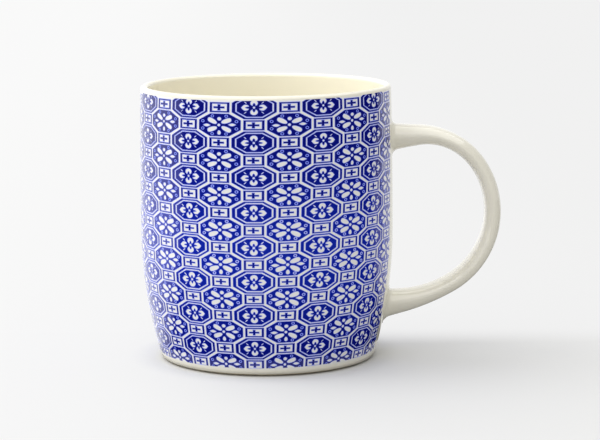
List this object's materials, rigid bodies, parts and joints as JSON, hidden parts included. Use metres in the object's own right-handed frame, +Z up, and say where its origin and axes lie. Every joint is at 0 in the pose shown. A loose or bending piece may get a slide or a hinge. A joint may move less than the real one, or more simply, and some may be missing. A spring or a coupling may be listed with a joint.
{
  "type": "mug",
  "caption": "Barrel-shaped glazed mug with a rounded lip, a strap handle and a blue octagon trellis print round the outside, for hot drinks.",
  "frame": {"origin": "centre of the foot ring, on the table", "axes": "+Z up the axis of the cup, +X from that axis towards the handle"},
  "size_m": [0.1216, 0.0852, 0.0922],
  "materials": {
    "fired_clay": "bare fired clay, matt",
    "fired_slip": "bare fired slip, matt",
    "cream_glaze": "glossy cream glaze",
    "cobalt_print": "fired cobalt transfer print, glossy"
  },
  "bodies": {
    "root": {"body": "fired_clay", "handle": "fired_clay", "upper_slip_joint": "fired_slip", "lower_slip_joint": "fired_slip", "cup_glaze": "cream_glaze", "underside_glaze": "cream_glaze", "handle_glaze": "cream_glaze", "print_band": "cobalt_print"}
  },
  "joints": []
}
